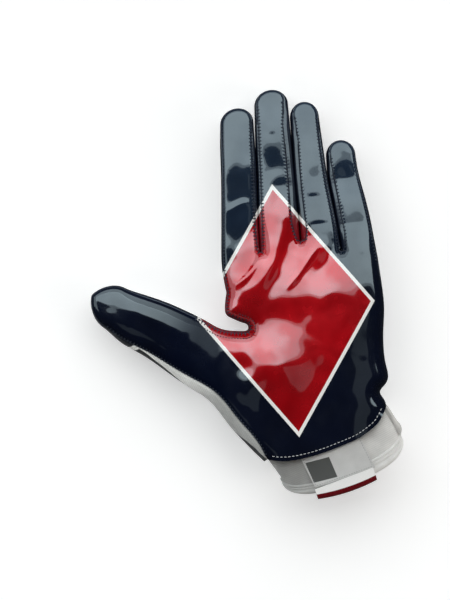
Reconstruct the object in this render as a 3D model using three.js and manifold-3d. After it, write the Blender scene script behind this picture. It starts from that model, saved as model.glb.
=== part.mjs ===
// A left-hand receiver's glove lying on its back, palm up, as an assembly of thin sewn panels.
// Millimetres. +Y runs along the fingers, +X to the little-finger side, +Z up out of the palm.
// The origin is the middle of the flat patch that the back of the hand rests on.
//
// The panels are cut from one hollow skin. The skin is the outside of four finger tubes, a thumb
// and a palm body, less the same shapes drawn in by the wall. Seen from above, the palm-side
// panel and the back panel are the parts of that skin inside their own seam lines, and what is
// left between them round the silhouette falls into the side strips and the finger gussets.

import * as THREE from 'three';
import { mergeVertices } from 'three/addons/utils/BufferGeometryUtils.js';
import Module from 'manifold-3d';

const wasm = await Module();
wasm.setup();

// Thicknesses and clearances
const WALL = 1.6;
const GAP = 0.35;
const CUFF_WALL = 1.8;
const LABEL_THICK = 0.8;
const STRAP_THICK = 1.6;
const BINDING_THICK = 1.0;
const BINDING_WIDTH = 4.4;
const BINDING_LAP = 0.6; // how far the binding stands out past the cuff's edge

// Levels
const FLOOR_Z = 0; // the back of the hand is flattened on this level
const CUFF_FLOOR_Z = 2.2; // and the cuff on this one, which leaves room for the strap under it
const SPLIT_Z = 10.8; // parts the palm-side wall from the back wall
const STRAP_TOP_Z = 21.5; // where the strap ends on the little-finger side
const BELOW_Z = -5;
const ABOVE_Z = 60;

// Facets
const FINGER_SIDES = 12;
const THUMB_SIDES = 16;
const PALM_SIDES = 24;
const TIP_DEGREES = [30, 56, 76];
const FINGER_POWER = 2.5; // 2 is an ellipse, more is boxier
const PALM_POWER = 2.5;

// A table is read as rows of named columns.
function table(columns, rows) {
  const names = columns.split(' ');
  return rows.map((row) => Object.fromEntries(names.map((name, i) => [name, row[i]])));
}

// Finger sections square to Y: station, centre, half width, half height, centre's height.
// seamLeft and seamRight run from the silhouette in to the palm-side seam.
const FINGER_COLUMNS = 'y x w h z';
const FINGER_TIP_LENGTH = 9;
const FINGERS = {
  index: {
    seamLeft: 1.0,
    seamRight: 1.0,
    tip: { y: 134.2, x: -23.7, z: 11.4 },
    rows: table(FINGER_COLUMNS, [
      [26, -31.0, 9.8, 9.4, 12.0],
      [42, -30.6, 11.3, 10.4, 11.6],
      [56, -29.9, 10.9, 10.0, 10.6],
      [74, -28.5, 10.4, 9.2, 9.6],
      [92, -27.0, 10.2, 8.8, 9.6],
      [110, -25.6, 10.1, 8.1, 10.2],
    ]),
  },
  middle: {
    seamLeft: 1.6,
    seamRight: 4.4,
    tip: { y: 142.9, x: -2.6, z: 11.8 },
    rows: table(FINGER_COLUMNS, [
      [26, -6.7, 10.6, 9.8, 12.4],
      [42, -6.6, 11.9, 10.6, 12.0],
      [56, -6.2, 11.6, 10.2, 11.0],
      [74, -5.5, 11.1, 9.4, 10.0],
      [92, -4.8, 10.6, 8.9, 9.8],
      [119, -3.7, 10.1, 8.1, 10.6],
    ]),
  },
  ring: {
    seamLeft: 3.6,
    seamRight: 1.1,
    tip: { y: 133.9, x: 15.9, z: 11.2 },
    rows: table(FINGER_COLUMNS, [
      [22, 17.3, 10.6, 9.4, 12.0],
      [38, 17.5, 11.6, 10.2, 11.6],
      [52, 17.6, 10.8, 9.8, 10.6],
      [70, 16.6, 10.2, 8.9, 9.6],
      [88, 15.8, 9.4, 8.4, 9.4],
      [111, 15.8, 8.7, 7.7, 10.0],
    ]),
  },
  little: {
    seamLeft: 3.4,
    seamRight: 1.0,
    tip: { y: 109.2, x: 34.9, z: 10.8 },
    rows: table(FINGER_COLUMNS, [
      [16, 39.6, 9.6, 9.0, 11.6],
      [32, 39.6, 10.8, 9.6, 11.2],
      [46, 39.4, 10.0, 9.0, 10.2],
      [60, 38.4, 9.8, 8.4, 9.4],
      [76, 36.9, 9.2, 7.9, 9.2],
      [90, 35.4, 8.6, 7.4, 9.6],
    ]),
  },
};

// Thumb sections square to its own axis: distance out from its root, half width, half height,
// centre's height, and how far the centre lies off the axis towards the index finger.
const THUMB = {
  root: { x: -41.9, y: -20.5 },
  degrees: 145.8, // from +X to the way it points
  seamInner: 1.4,
  seamOuter: 4.6,
  tip: { s: 93.5, z: 12.6, off: -3.4 },
  rows: table('s w h z off', [
    [-20, 17.0, 11.5, 13.6, 3.0],
    [-2, 21.5, 12.6, 13.4, 1.0],
    [16, 20.2, 12.4, 13.0, 0.4],
    [34, 18.2, 11.6, 12.4, 0.2],
    [52, 15.9, 10.6, 11.8, 0.2],
    [68, 13.6, 9.6, 11.6, -0.8],
    [81, 11.2, 8.6, 12.0, -2.2],
  ]),
};

// Palm sections from the thumb side (x1, y1) to the little-finger side (x2, y2).
// bow pushes the middle of a section towards the fingers.
const PALM_ROWS = table('x1 y1 x2 y2 h z bow', [
  [-23.6, -84.6, 52.4, -64.6, 15.4, 16.4, 0],
  [-28.4, -75.6, 48.6, -51.8, 15.4, 15.8, 0],
  [-34.8, -68.2, 43.2, -40.4, 15.2, 15.0, 0],
  [-41.0, -60.4, 48.4, -34.4, 15.2, 14.4, 0],
  [-47.8, -51.8, 47.8, -26.0, 15.2, 13.8, 0],
  [-53.6, -42.0, 47.7, -16.8, 15.0, 13.2, 0],
  [-50.6, -24.6, 49.4, -2.6, 14.6, 12.8, 0],
  [-45.0, -5.0, 51.0, 8.6, 14.2, 12.4, 0],
  [-42.8, 15.8, 51.0, 19.8, 13.6, 12.2, 0],
  [-41.6, 33.0, 50.4, 31.6, 12.0, 11.8, 2.0],
  [-39.6, 42.6, 48.4, 35.6, 10.0, 11.2, 4.4],
  [-36.4, 47.4, 45.6, 37.4, 6.6, 10.8, 5.6],
]);
const SKIN_START = 2; // first palm row that is all above the hem
const KNUCKLE_ROWS = 4; // palm rows above the thumb, before the last

// Cuff sections in the same form, from its open end to its end inside the wrist.
// sag draws the palm side of a section back towards the wrist.
const CUFF_ROWS = table('x1 y1 x2 y2 h z sag', [
  [-18.3, -88.6, 53.0, -71.0, 13.0, 17.2, 11],
  [-20.9, -83.6, 50.2, -62.0, 13.2, 16.6, 6],
  [-25.4, -76.0, 45.9, -52.4, 12.8, 15.8, 2],
  [-31.4, -65.6, 40.6, -41.2, 12.4, 15.0, 0],
]);

// The open notch between the thumb and the index side of the palm.
const CROTCH = table('x y', [
  [-66.0, 18.4],
  [-57.1, 12.3],
  [-47.4, 6.1],
  [-41.0, 3.9],
  [-35.2, 3.0],
  [-31.2, 3.0],
  [-29.9, 4.4],
  [-31.2, 6.4],
  [-36.6, 9.4],
  [-43.6, 14.0],
  [-52.0, 22.0],
]);

// Seam lines from above. The palm-side panel ends in a curved hem on the cuff.
const FRONT_SEAM_INSET = 1.2;
const BACK_SEAM_INSET = 2.2;
const HEM = table('x y', [
  [-25.8, -75.2],
  [-16.9, -76.3],
  [-7.7, -75.8],
  [1.6, -74.0],
  [8.7, -72.2],
  [19.5, -68.8],
  [30.7, -64.6],
  [40.5, -58.6],
  [44.4, -54.0],
]);
const BACK_HEM = table('x y', [
  [-27.0, -76.2],
  [46.6, -53.2],
]);
// Below the thumb, from its root down to the wrist.
const THENAR_SEAM = table('x y', [
  [-58.0, -24.0],
  [-52.6, -33.0],
  [-45.0, -42.0],
  [-37.4, -51.6],
  [-31.4, -60.6],
  [-27.2, -70.0],
]);
const THENAR_BACK_SEAM = table('x y', [
  [-58.0, -24.0],
  [-51.6, -39.0],
  [-45.2, -49.6],
  [-38.6, -58.6],
  [-33.4, -66.6],
]);

// Pieces on the cuff, from above
const LABEL_CORNERS = table('x y', [
  [-9.0, -71.0],
  [-1.9, -91.0],
  [33.6, -83.6],
  [26.6, -61.0],
]);
const STRAP_CORNERS = table('x y', [
  [7.0, -66.7],
  [62.0, -49.5],
  [66.0, -67.6],
  [4.0, -82.8],
  [0.4, -80.2],
  [3.0, -69.6],
]);
// Webbing folded over the cuff's edge. leaf and fold are measured from there towards the hand.
const TAB = {
  x: 18.6,
  y: -91.6,
  z: 29.4,
  degrees: 12.2,
  width: 36,
  leaf: 3.4,
  fold: -1.4,
  gape: 2.7,
  thick: 1.3,
};

const COLOURS = {
  film: 0x0f1a3a,
  gusset: 0x141d38,
  knit: 0xc9cccf,
  cuff: 0xc4c6c8,
  tape: 0xe6e8ea,
};

function powered(value, exponent) {
  return Math.sign(value) * Math.abs(value) ** exponent;
}

// One ring of points: a flattened ellipse across the way `across`, cut off at the level `floor`.
function ring({ x, y, w, h, z, across, exponent, sides, floor, sag = 0, bow = 0 }) {
  return Array.from({ length: sides }, (_, i) => {
    const turn = (2 * Math.PI * i) / sides;
    const reach = powered(Math.cos(turn), 2 / exponent);
    const rise = powered(Math.sin(turn), 2 / exponent);
    const ahead = bow * (1 - reach * reach) - sag * Math.max(rise, 0);
    return new THREE.Vector3(
      x + across.x * w * reach - across.y * ahead,
      y + across.y * w * reach + across.x * ahead,
      Math.max(z + h * rise, floor),
    );
  });
}

// A closed geometry through rings of equally many points, listed from back to front.
function loft(rings) {
  const sides = rings[0].length;
  const front = sides * (rings.length - 1);
  const middle = (points) => points
    .reduce((sum, p) => sum.add(p), new THREE.Vector3())
    .divideScalar(sides);
  const corners = [...rings.flat(), middle(rings[0]), middle(rings[rings.length - 1])];
  const faces = [];
  for (let i = 0; i < sides; i += 1) {
    const next = (i + 1) % sides;
    for (let start = 0; start < front; start += sides) {
      const a = start + i;
      const b = start + next;
      faces.push(a, b + sides, b, a, a + sides, b + sides);
    }
    faces.push(corners.length - 2, i, next, corners.length - 1, front + next, front + i);
  }
  const geometry = new THREE.BufferGeometry().setFromPoints(corners);
  geometry.setIndex(faces);
  return geometry;
}

// A three.js geometry as a solid.
function solidOf(geometry) {
  const bare = geometry.index ? geometry.toNonIndexed() : geometry.clone();
  bare.deleteAttribute('normal');
  bare.deleteAttribute('uv');
  const merged = mergeVertices(bare, 1e-4);
  return new wasm.Manifold(new wasm.Mesh({
    numProp: 3,
    vertProperties: merged.attributes.position.array,
    triVerts: new Uint32Array(merged.index.array),
  }));
}

function joined(solids) {
  return solids.reduce((sum, solid) => sum.add(solid));
}

// An upright prism over an outline of {x, y} points.
function prism(outline, low, high) {
  const shape = new THREE.Shape(outline.map((p) => new THREE.Vector2(p.x, p.y)));
  const geometry = new THREE.ExtrudeGeometry(shape, { depth: high - low, bevelEnabled: false });
  return solidOf(geometry.translate(0, 0, low));
}

// An outline with every side moved outwards by `distance`.
function grown(outline, distance) {
  const points = outline.map((p) => new THREE.Vector2(p.x, p.y));
  const reach = THREE.ShapeUtils.isClockWise(points) ? -distance : distance;
  const outwards = (a, b) => new THREE.Vector2(b.y - a.y, a.x - b.x).normalize();
  return points.map((point, i) => {
    const before = outwards(points.at(i - 1), point);
    const after = outwards(point, points[(i + 1) % points.length]);
    const corner = before.clone().add(after).normalize();
    return point.clone().addScaledVector(corner, reach / Math.max(corner.dot(before), 0.5));
  });
}

// Sections that close a tube over its tip, from its last full section.
function tipSections(last, tip, key, inset) {
  return TIP_DEGREES.map((degrees) => {
    const angle = THREE.MathUtils.degToRad(degrees);
    const part = (name) => last[name] + (tip[name] - last[name]) * Math.sin(angle);
    const section = Object.fromEntries(Object.keys(tip).map((name) => [name, part(name)]));
    section[key] -= inset * Math.sin(angle);
    return { ...section, w: last.w * Math.cos(angle), h: last.h * Math.cos(angle) };
  });
}

function fingerSections(finger, inset) {
  const { tip, rows } = finger;
  const drawnIn = rows.map((row) => ({ ...row, w: row.w - inset, h: row.h - inset }));
  const last = drawnIn.at(-1);
  const neck = { ...last, y: tip.y - FINGER_TIP_LENGTH, w: last.w - 0.5, h: last.h - 0.7 };
  const share = (neck.y - last.y) / (tip.y - last.y);
  neck.x += (tip.x - last.x) * share;
  neck.z += (tip.z - last.z) * share;
  return [...drawnIn, neck, ...tipSections(neck, tip, 'y', inset)];
}

function fingerTube(finger, inset) {
  const shared = {
    across: { x: 1, y: 0 },
    exponent: FINGER_POWER,
    sides: FINGER_SIDES,
    floor: FLOOR_Z + inset,
  };
  return solidOf(loft(fingerSections(finger, inset).map((row) => ring({ ...row, ...shared }))));
}

const thumbTurn = THREE.MathUtils.degToRad(THUMB.degrees);
const thumbAcross = { x: Math.sin(thumbTurn), y: -Math.cos(thumbTurn) };

// The point `s` along the thumb's axis and `off` to its index side.
function thumbPoint(s, off) {
  return {
    x: THUMB.root.x - thumbAcross.y * s + thumbAcross.x * off,
    y: THUMB.root.y + thumbAcross.x * s + thumbAcross.y * off,
  };
}

function thumbSections(inset) {
  const rows = THUMB.rows.map((row) => ({ ...row, w: row.w - inset, h: row.h - inset }));
  return [...rows, ...tipSections(rows.at(-1), THUMB.tip, 's', inset)];
}

function thumbTube(inset) {
  const shared = {
    across: thumbAcross,
    exponent: FINGER_POWER,
    sides: THUMB_SIDES,
    floor: FLOOR_Z + inset,
  };
  const ringAt = (row) => ring({ ...row, ...thumbPoint(row.s, row.off), ...shared });
  return solidOf(loft(thumbSections(inset).map(ringAt)));
}

// A body through sections that each run from a left point to a right point.
function spanBody(rows, inset, floor) {
  return solidOf(loft(rows.map((row) => {
    const span = Math.hypot(row.x2 - row.x1, row.y2 - row.y1);
    return ring({
      ...row,
      x: (row.x1 + row.x2) / 2,
      y: (row.y1 + row.y2) / 2,
      across: { x: (row.x2 - row.x1) / span, y: (row.y2 - row.y1) / span },
      w: span / 2 - inset,
      h: row.h - inset,
      exponent: PALM_POWER,
      sides: PALM_SIDES,
      floor,
    });
  })));
}

// The section part of the way from one to another, or past either.
function between(a, b, share) {
  const names = Object.keys(a);
  return Object.fromEntries(names.map((name) => [name, a[name] + (b[name] - a[name]) * share]));
}

const crotch = (wider) => prism(grown(CROTCH, wider), BELOW_Z, ABOVE_Z);

// The glove's whole form, drawn in by `inset`.
function handBody(inset) {
  const end = PALM_ROWS.at(-1);
  const rows = [...PALM_ROWS.slice(0, -1), { ...end, y1: end.y1 - inset, y2: end.y2 - inset }];
  return joined([
    spanBody(rows, inset, FLOOR_Z + inset),
    thumbTube(inset),
    ...Object.values(FINGERS).map((finger) => fingerTube(finger, inset)),
  ]).subtract(crotch(inset));
}

// A digit's outline: its sections' two ends, drawn in by the seams' distances.
function digitOutline(sections, key, insetLow, insetHigh, pointAt) {
  const tipStart = sections.at(-1 - TIP_DEGREES.length)[key];
  const station = (row) => row[key] - (row[key] > tipStart ? Math.min(insetLow, insetHigh) : 0);
  const edge = (side, inset) => sections.map((row) => (
    pointAt(row, station(row), side * Math.max(row.w - inset, 0.4))
  ));
  return [...edge(-1, insetLow), ...edge(1, insetHigh).reverse()];
}

function fingerOutline(finger, insetLeft, insetRight) {
  const pointAt = (row, y, off) => ({ x: row.x + off, y });
  return digitOutline(fingerSections(finger, 0), 'y', insetLeft, insetRight, pointAt);
}

function thumbOutline(insetOuter, insetInner) {
  const pointAt = (row, s, off) => thumbPoint(s, row.off + off);
  return digitOutline(thumbSections(0), 's', insetOuter, insetInner, pointAt);
}

// The palm's outline: the given hem and thumb-side seam, joined round the other edges.
function palmOutline(hem, thenarSeam, inset) {
  const right = PALM_ROWS.slice(SKIN_START, -1).map((row) => ({ x: row.x2 - inset, y: row.y2 }));
  const left = PALM_ROWS.slice(-1 - KNUCKLE_ROWS, -1).map((row) => ({ x: row.x1 + inset, y: row.y1 }));
  const end = PALM_ROWS.at(-1);
  const knuckles = [1, 0.6, 0.2, -0.2, -0.6, -1].map((reach) => ({
    x: (end.x1 + end.x2) / 2 + reach * ((end.x2 - end.x1) / 2 - inset),
    y: (end.y1 + end.y2) / 2 + (reach * (end.y2 - end.y1)) / 2 + end.bow * (1 - reach * reach) - inset,
  }));
  return [...hem, ...right, ...knuckles, ...left.reverse(), ...thenarSeam];
}

const frontOutlines = [
  palmOutline(HEM, THENAR_SEAM, FRONT_SEAM_INSET),
  thumbOutline(THUMB.seamOuter, THUMB.seamInner),
  ...Object.values(FINGERS).map((finger) => fingerOutline(finger, finger.seamLeft, finger.seamRight)),
];
const backOutlines = [
  palmOutline(BACK_HEM, THENAR_BACK_SEAM, BACK_SEAM_INSET),
  thumbOutline(BACK_SEAM_INSET, BACK_SEAM_INSET),
  ...Object.values(FINGERS).map((finger) => fingerOutline(finger, BACK_SEAM_INSET, BACK_SEAM_INSET)),
];

// All that lies over the palm-side panel's outline, widened by `clearance`.
function overFront(clearance) {
  const over = (outline) => prism(grown(outline, clearance), SPLIT_Z - clearance, ABOVE_Z);
  return joined(frontOutlines.map(over)).subtract(crotch(FRONT_SEAM_INSET - clearance));
}

function underBack(clearance) {
  const under = (outline) => prism(grown(outline, clearance), BELOW_Z, SPLIT_Z + clearance);
  return joined(backOutlines.map(under)).subtract(crotch(BACK_SEAM_INSET - clearance));
}

const skin = handBody(0).subtract(handBody(WALL));
const palmPanel = skin.intersect(overFront(0));
const backPanel = skin.intersect(underBack(0));

// What is left round the silhouette, down to the line of the back panel's hem
const FAR = { left: -140, right: 75, top: 160, bottom: -95 };
const handSide = [
  ...BACK_HEM,
  { x: FAR.right, y: FAR.top },
  { x: FAR.left, y: FAR.top },
  { x: FAR.left, y: THUMB.root.y },
];
const band = skin
  .subtract(overFront(GAP))
  .subtract(underBack(GAP))
  .intersect(prism(handSide, BELOW_Z, ABOVE_Z));

// The band is parted along the middle line of every digit.
function fingerLine(finger, shift) {
  const beyond = { ...finger.tip, y: finger.tip.y + FINGER_TIP_LENGTH };
  return [...finger.rows, finger.tip, beyond].map((row) => ({ x: row.x + shift, y: row.y }));
}

function thumbLine(shift) {
  const beyond = { ...THUMB.tip, s: THUMB.tip.s + FINGER_TIP_LENGTH };
  return [...THUMB.rows, THUMB.tip, beyond].map((row) => thumbPoint(row.s, row.off + shift));
}

// The strip of the band between two middle lines, each clear of its line by half the gap.
function stripBetween(lineAt, nextLineAt, ...corners) {
  const outline = [...lineAt(GAP / 2), ...corners, ...nextLineAt(-GAP / 2).reverse()];
  return band.intersect(prism(outline, BELOW_Z, ABOVE_Z));
}

const { index, middle, ring: ringFinger, little } = FINGERS;
const lineOf = (finger) => (shift) => fingerLine(finger, shift);
const wristLine = () => [{ x: 0, y: THUMB.root.y }, { x: 0, y: FAR.bottom }];
const strips = {
  thumb_side_strip: stripBetween(
    wristLine,
    thumbLine,
    { x: FAR.left, y: FAR.bottom },
    { x: FAR.left, y: THUMB.root.y },
  ),
  gusset_thumb_index: stripBetween(thumbLine, lineOf(index), { x: FAR.left, y: FAR.top }),
  gusset_index_middle: stripBetween(lineOf(index), lineOf(middle)),
  gusset_middle_ring: stripBetween(lineOf(middle), lineOf(ringFinger)),
  gusset_ring_little: stripBetween(lineOf(ringFinger), lineOf(little)),
  little_side_strip: stripBetween(
    lineOf(little),
    wristLine,
    { x: FAR.right, y: FAR.top },
    { x: FAR.right, y: FAR.bottom },
  ),
};

// The cuff, and layers that lie on it clear of it by the usual gap
function cuffBody(layer) {
  return spanBody(CUFF_ROWS, -layer, CUFF_FLOOR_Z - layer);
}

function layerOnCuff(thickness) {
  return cuffBody(GAP + thickness).subtract(cuffBody(GAP));
}

// The cuff's body between two distances from its open end, swollen by `layer`.
function cuffLength(from, to, layer) {
  const [end, next] = CUFF_ROWS;
  const pitch = Math.hypot(next.x1 + next.x2 - end.x1 - end.x2, next.y1 + next.y2 - end.y1 - end.y2) / 2;
  const rows = [from, to].map((distance) => between(end, next, distance / pitch));
  return spanBody(rows, -layer, CUFF_FLOOR_Z - layer);
}

function hollowCuff() {
  const [end, next] = CUFF_ROWS;
  const before = CUFF_ROWS.at(-2);
  const last = CUFF_ROWS.at(-1);
  const longer = [between(end, next, -0.5), ...CUFF_ROWS.slice(0, -1), between(before, last, 1.5)];
  return cuffBody(0).subtract(spanBody(longer, CUFF_WALL, CUFF_FLOOR_Z + CUFF_WALL));
}

const strapSide = (clearance) => prism(grown(STRAP_CORNERS, clearance), BELOW_Z, STRAP_TOP_Z + clearance);
const strap = layerOnCuff(STRAP_THICK).intersect(strapSide(0)).subtract(overFront(GAP));
const binding = cuffLength(-BINDING_LAP, BINDING_WIDTH, GAP + BINDING_THICK)
  .subtract(cuffLength(-BINDING_WIDTH, BINDING_WIDTH * 2, GAP))
  .subtract(strapSide(GAP));
const label = layerOnCuff(LABEL_THICK)
  .intersect(prism(LABEL_CORNERS, SPLIT_Z, ABOVE_Z))
  .subtract(overFront(GAP))
  .subtract(cuffLength(-BINDING_WIDTH, BINDING_WIDTH + GAP, BINDING_THICK * 2));

// Webbing folded round the cuff's edge: its side view, given its width.
function foldedTab() {
  const { leaf, fold, gape, thick, width } = TAB;
  const bend = (layer) => [90, 120, 150, 180, 210, 240, 270].map((degrees) => {
    const angle = THREE.MathUtils.degToRad(degrees);
    return [fold + (gape * 0.6 + layer) * Math.cos(angle), (gape + layer) * Math.sin(angle)];
  });
  const high = gape + thick;
  const outer = [[leaf, high], ...bend(thick), [leaf, -high]];
  const inner = [[leaf, -gape], ...bend(0).reverse(), [leaf, gape]];
  const outline = [...outer, ...inner];
  const shape = new THREE.Shape(outline.map(([along, up]) => new THREE.Vector2(along, up)));
  const geometry = new THREE.ExtrudeGeometry(shape, { depth: width, bevelEnabled: false });
  geometry.rotateX(Math.PI / 2);
  geometry.rotateZ(Math.PI / 2);
  return geometry.translate(-width / 2, 0, 0);
}

const glove = new THREE.Group();

function addPiece(name, geometry, color, roughness) {
  const piece = new THREE.Mesh(geometry, new THREE.MeshStandardMaterial({ color, roughness, metalness: 0 }));
  piece.name = name;
  glove.add(piece);
  return piece;
}

// The largest body of a solid: the seams' cuts leave specks beside it.
function geometryOf(solid) {
  const [body] = solid.decompose().sort((a, b) => b.volume() - a.volume());
  const { vertProperties, triVerts } = body.getMesh();
  const geometry = new THREE.BufferGeometry();
  geometry.setAttribute('position', new THREE.BufferAttribute(vertProperties, 3));
  geometry.setIndex(new THREE.BufferAttribute(triVerts, 1));
  geometry.computeVertexNormals();
  return geometry;
}

addPiece('palm_panel', geometryOf(palmPanel), COLOURS.film, 0.15);
addPiece('back_panel', geometryOf(backPanel), COLOURS.knit, 0.85);
for (const [name, solid] of Object.entries(strips)) {
  const isKnit = name === 'thumb_side_strip';
  addPiece(name, geometryOf(solid), isKnit ? COLOURS.knit : COLOURS.gusset, isKnit ? 0.8 : 0.5);
}
addPiece('cuff', geometryOf(hollowCuff()), COLOURS.cuff, 0.85);
addPiece('cuff_binding', geometryOf(binding), COLOURS.tape, 0.8);
addPiece('closure_strap', geometryOf(strap), COLOURS.cuff, 0.8);
addPiece('label', geometryOf(label), COLOURS.tape, 0.7);
const tab = addPiece('pull_tab', foldedTab(), COLOURS.tape, 0.7);
tab.position.set(TAB.x, TAB.y, TAB.z);
tab.rotation.z = THREE.MathUtils.degToRad(TAB.degrees);

export default glove;
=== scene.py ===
"""A left-hand receiver's glove lying on its back, palm up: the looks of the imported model.

Sizes are millimetres in the frame of the part: +Y along the fingers, +X to the little finger and
+Z up out of the palm. Meshes are written in metres. The hand is a height field over its outline
seen from above. The palm-side film, the side strips and the knit back are cut along seam lines
drawn in from that outline, and small stitches, tapes and patches lie on them.
"""

import math

import bpy
import numpy as np
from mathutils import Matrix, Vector
from mathutils.bvhtree import BVHTree
from mathutils.geometry import delaunay_2d_cdt


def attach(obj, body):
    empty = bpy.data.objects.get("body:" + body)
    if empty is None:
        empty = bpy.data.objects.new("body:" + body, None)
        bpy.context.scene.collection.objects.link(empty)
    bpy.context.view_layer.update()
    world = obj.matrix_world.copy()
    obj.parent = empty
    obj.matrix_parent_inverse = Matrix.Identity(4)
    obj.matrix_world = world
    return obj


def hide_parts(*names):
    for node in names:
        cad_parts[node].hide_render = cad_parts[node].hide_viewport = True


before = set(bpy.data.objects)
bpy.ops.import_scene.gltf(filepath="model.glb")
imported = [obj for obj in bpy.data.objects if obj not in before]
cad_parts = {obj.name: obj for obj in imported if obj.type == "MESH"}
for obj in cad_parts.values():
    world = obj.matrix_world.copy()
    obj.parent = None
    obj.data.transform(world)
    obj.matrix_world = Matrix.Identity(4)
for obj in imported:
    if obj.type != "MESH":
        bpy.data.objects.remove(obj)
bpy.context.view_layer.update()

MM = 0.001

# Thicknesses
FILM = 1.0
STRIP = 0.8
KNIT = 1.2
CUFF_WALL = 1.8
LABEL_THICK = 0.7
LABEL_GAP = 0.1

# Steps between mesh points, and the lines drawn in from a panel's edge
EDGE_STEP = 0.7
FILM_STEP = 1.0
KNIT_STEP = 1.8
FILM_RINGS = (0.45, 1.0, 1.7, 2.5)
KNIT_RINGS = (0.7, 1.7)
# Points over half a digit's tip, and the angle from which an edge is sharp
ARC_POINTS = 22
CREASE = 50


def rows_of(text):
    """Rows of numbers, one to a line."""
    return np.array([line.split() for line in text.strip().splitlines()], dtype=float)


def table(text):
    """Rows of numbers under a line of their names, as one array for each name."""
    names, rows = text.strip().split("\n", 1)
    return dict(zip(names.split(), rows_of(rows).T))


def stacked(columns, names):
    return np.stack([columns[name] for name in names.split()], axis=1)


def smoothstep(low, high, x):
    share = np.clip((x - low) / (high - low), 0, 1)
    return share * share * (3 - 2 * share)


def mix(a, b, share):
    return a + (b - a) * share


def bell(x):
    return np.exp(-x * x)


def signed_power(x, power):
    return np.sign(x) * np.abs(x) ** power


def heading(degrees):
    """The cosine and the sine of a turn."""
    turn = math.radians(degrees)
    return math.cos(turn), math.sin(turn)


def softly_above(level, floor, ease):
    """A level that never falls to a floor, but eases on to it."""
    over = level - floor
    return floor + (over + np.sqrt(over * over + ease)) / 2


def unit(vectors):
    return vectors / np.linalg.norm(vectors, axis=-1)[..., None]


def left_of(ahead):
    """Unit normals to the left of directions seen from above."""
    ahead = unit(ahead)
    return np.column_stack([-ahead[:, 1], ahead[:, 0]])


def inward(line):
    """Unit normals to the left of a line of points."""
    return left_of(np.gradient(line, axis=0))


class Spline:
    """A natural cubic spline through values at rising knots, straight beyond its ends."""

    def __init__(self, knots, values):
        self.knots = np.asarray(knots, dtype=float)
        self.values = np.asarray(values, dtype=float)
        gaps = np.diff(self.knots)
        slopes = (np.diff(self.values, axis=0).T / gaps).T
        count = len(self.knots)
        system = np.eye(count)
        right = np.zeros_like(self.values)
        for i in range(1, count - 1):
            system[i, i - 1 : i + 2] = gaps[i - 1], 2 * (gaps[i - 1] + gaps[i]), gaps[i]
            right[i] = 6 * (slopes[i] - slopes[i - 1])
        self.bend = np.linalg.solve(system, right)
        self.gaps = gaps
        self.first = slopes[0] - gaps[0] * self.bend[1] / 6
        self.last = slopes[-1] + gaps[-1] * self.bend[-2] / 6

    def __call__(self, x):
        x = np.atleast_1d(np.asarray(x, dtype=float))
        within = np.clip(x, self.knots[0], self.knots[-1])
        i = np.clip(np.searchsorted(self.knots, within) - 1, 0, len(self.gaps) - 1)
        gap = self.gaps[i]
        a = (self.knots[i + 1] - within) / gap
        b = 1 - a
        before = np.minimum(x - self.knots[0], 0)
        after = np.maximum(x - self.knots[-1], 0)
        if self.values.ndim > 1:
            gap, a, b, before, after = (part[:, None] for part in (gap, a, b, before, after))
        bent = ((a**3 - a) * self.bend[i] + (b**3 - b) * self.bend[i + 1]) * gap * gap / 6
        straight = a * self.values[i] + b * self.values[i + 1]
        return straight + bent + before * self.first + after * self.last


def lengths_along(line):
    """The distance along a line of points, seen from above, from its first to each."""
    steps = np.diff(np.asarray(line)[:, :2], axis=0)
    return np.append(0, np.cumsum(np.linalg.norm(steps, axis=1)))


def smooth_to(points, count):
    """A smooth line through points, whose further columns are carried along."""
    along = lengths_along(points)
    return Spline(along, points)(np.linspace(0, along[-1], count))


def smooth_line(points, step):
    """The same, with its points about a step apart."""
    return smooth_to(points, max(int(lengths_along(points)[-1] / step), 2) + 1)


def smooth_loop(points, step):
    return smooth_line(np.vstack([points, points[:1]]), step)[:-1]


def sample(line, places, along=None):
    """What a line of points holds at distances along it, straight from point to point."""
    along = lengths_along(line) if along is None else along
    return np.column_stack([np.interp(places, along, column) for column in line.T])


def nearest(line, points):
    """The distance from each point to a line of points, and how far along the line that is."""
    start, span = line[:-1], np.diff(line, axis=0)
    length = np.linalg.norm(span, axis=1)
    before = lengths_along(line)[:-1]
    distances, places = [], []
    for some in np.array_split(points, max(len(points) // 1500, 1)):
        offset = some[:, None] - start
        share = np.clip((offset * span).sum(2) / np.maximum(length, 1e-9) ** 2, 0, 1)
        gap = np.linalg.norm(offset - share[..., None] * span, axis=2)
        i = gap.argmin(axis=1)
        rows = np.arange(len(some))
        distances.append(gap[rows, i])
        places.append(before[i] + share[rows, i] * length[i])
    return np.concatenate(distances), np.concatenate(places)


def inside(loop, points):
    """Which points lie inside a closed loop."""
    x, y = points[:, 0], points[:, 1]
    within = np.zeros(len(points), dtype=bool)
    for (x1, y1), (x2, y2) in zip(loop, np.roll(loop, -1, axis=0)):
        if y1 != y2:
            crosses = ((y1 > y) != (y2 > y)) & (x < (x2 - x1) * (y - y1) / (y2 - y1) + x1)
            within ^= crosses
    return within


# Seams, as distances in from the outline: at the slits' ends, over the tips, the share of its own
# distance that a seam keeps at a digit's neck, and on the back
CROTCH_SEAM = 1.3
TIP_SEAM = 0.9
NECK_SEAM = 0.66
BACK_SEAM = 2.2
# Over what lengths a seam draws in before the neck, and opens after a digit's start, and how high
# round the tip it goes over to the tip's own distance
NECK_REACH = 16
START_REACH = (-4, 14)
TIP_REACH = (-0.1, 0.95)
FINGER_TIP = 9
# How much a digit has narrowed at its neck, at most
NECK_DROP = 0.5


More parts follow.
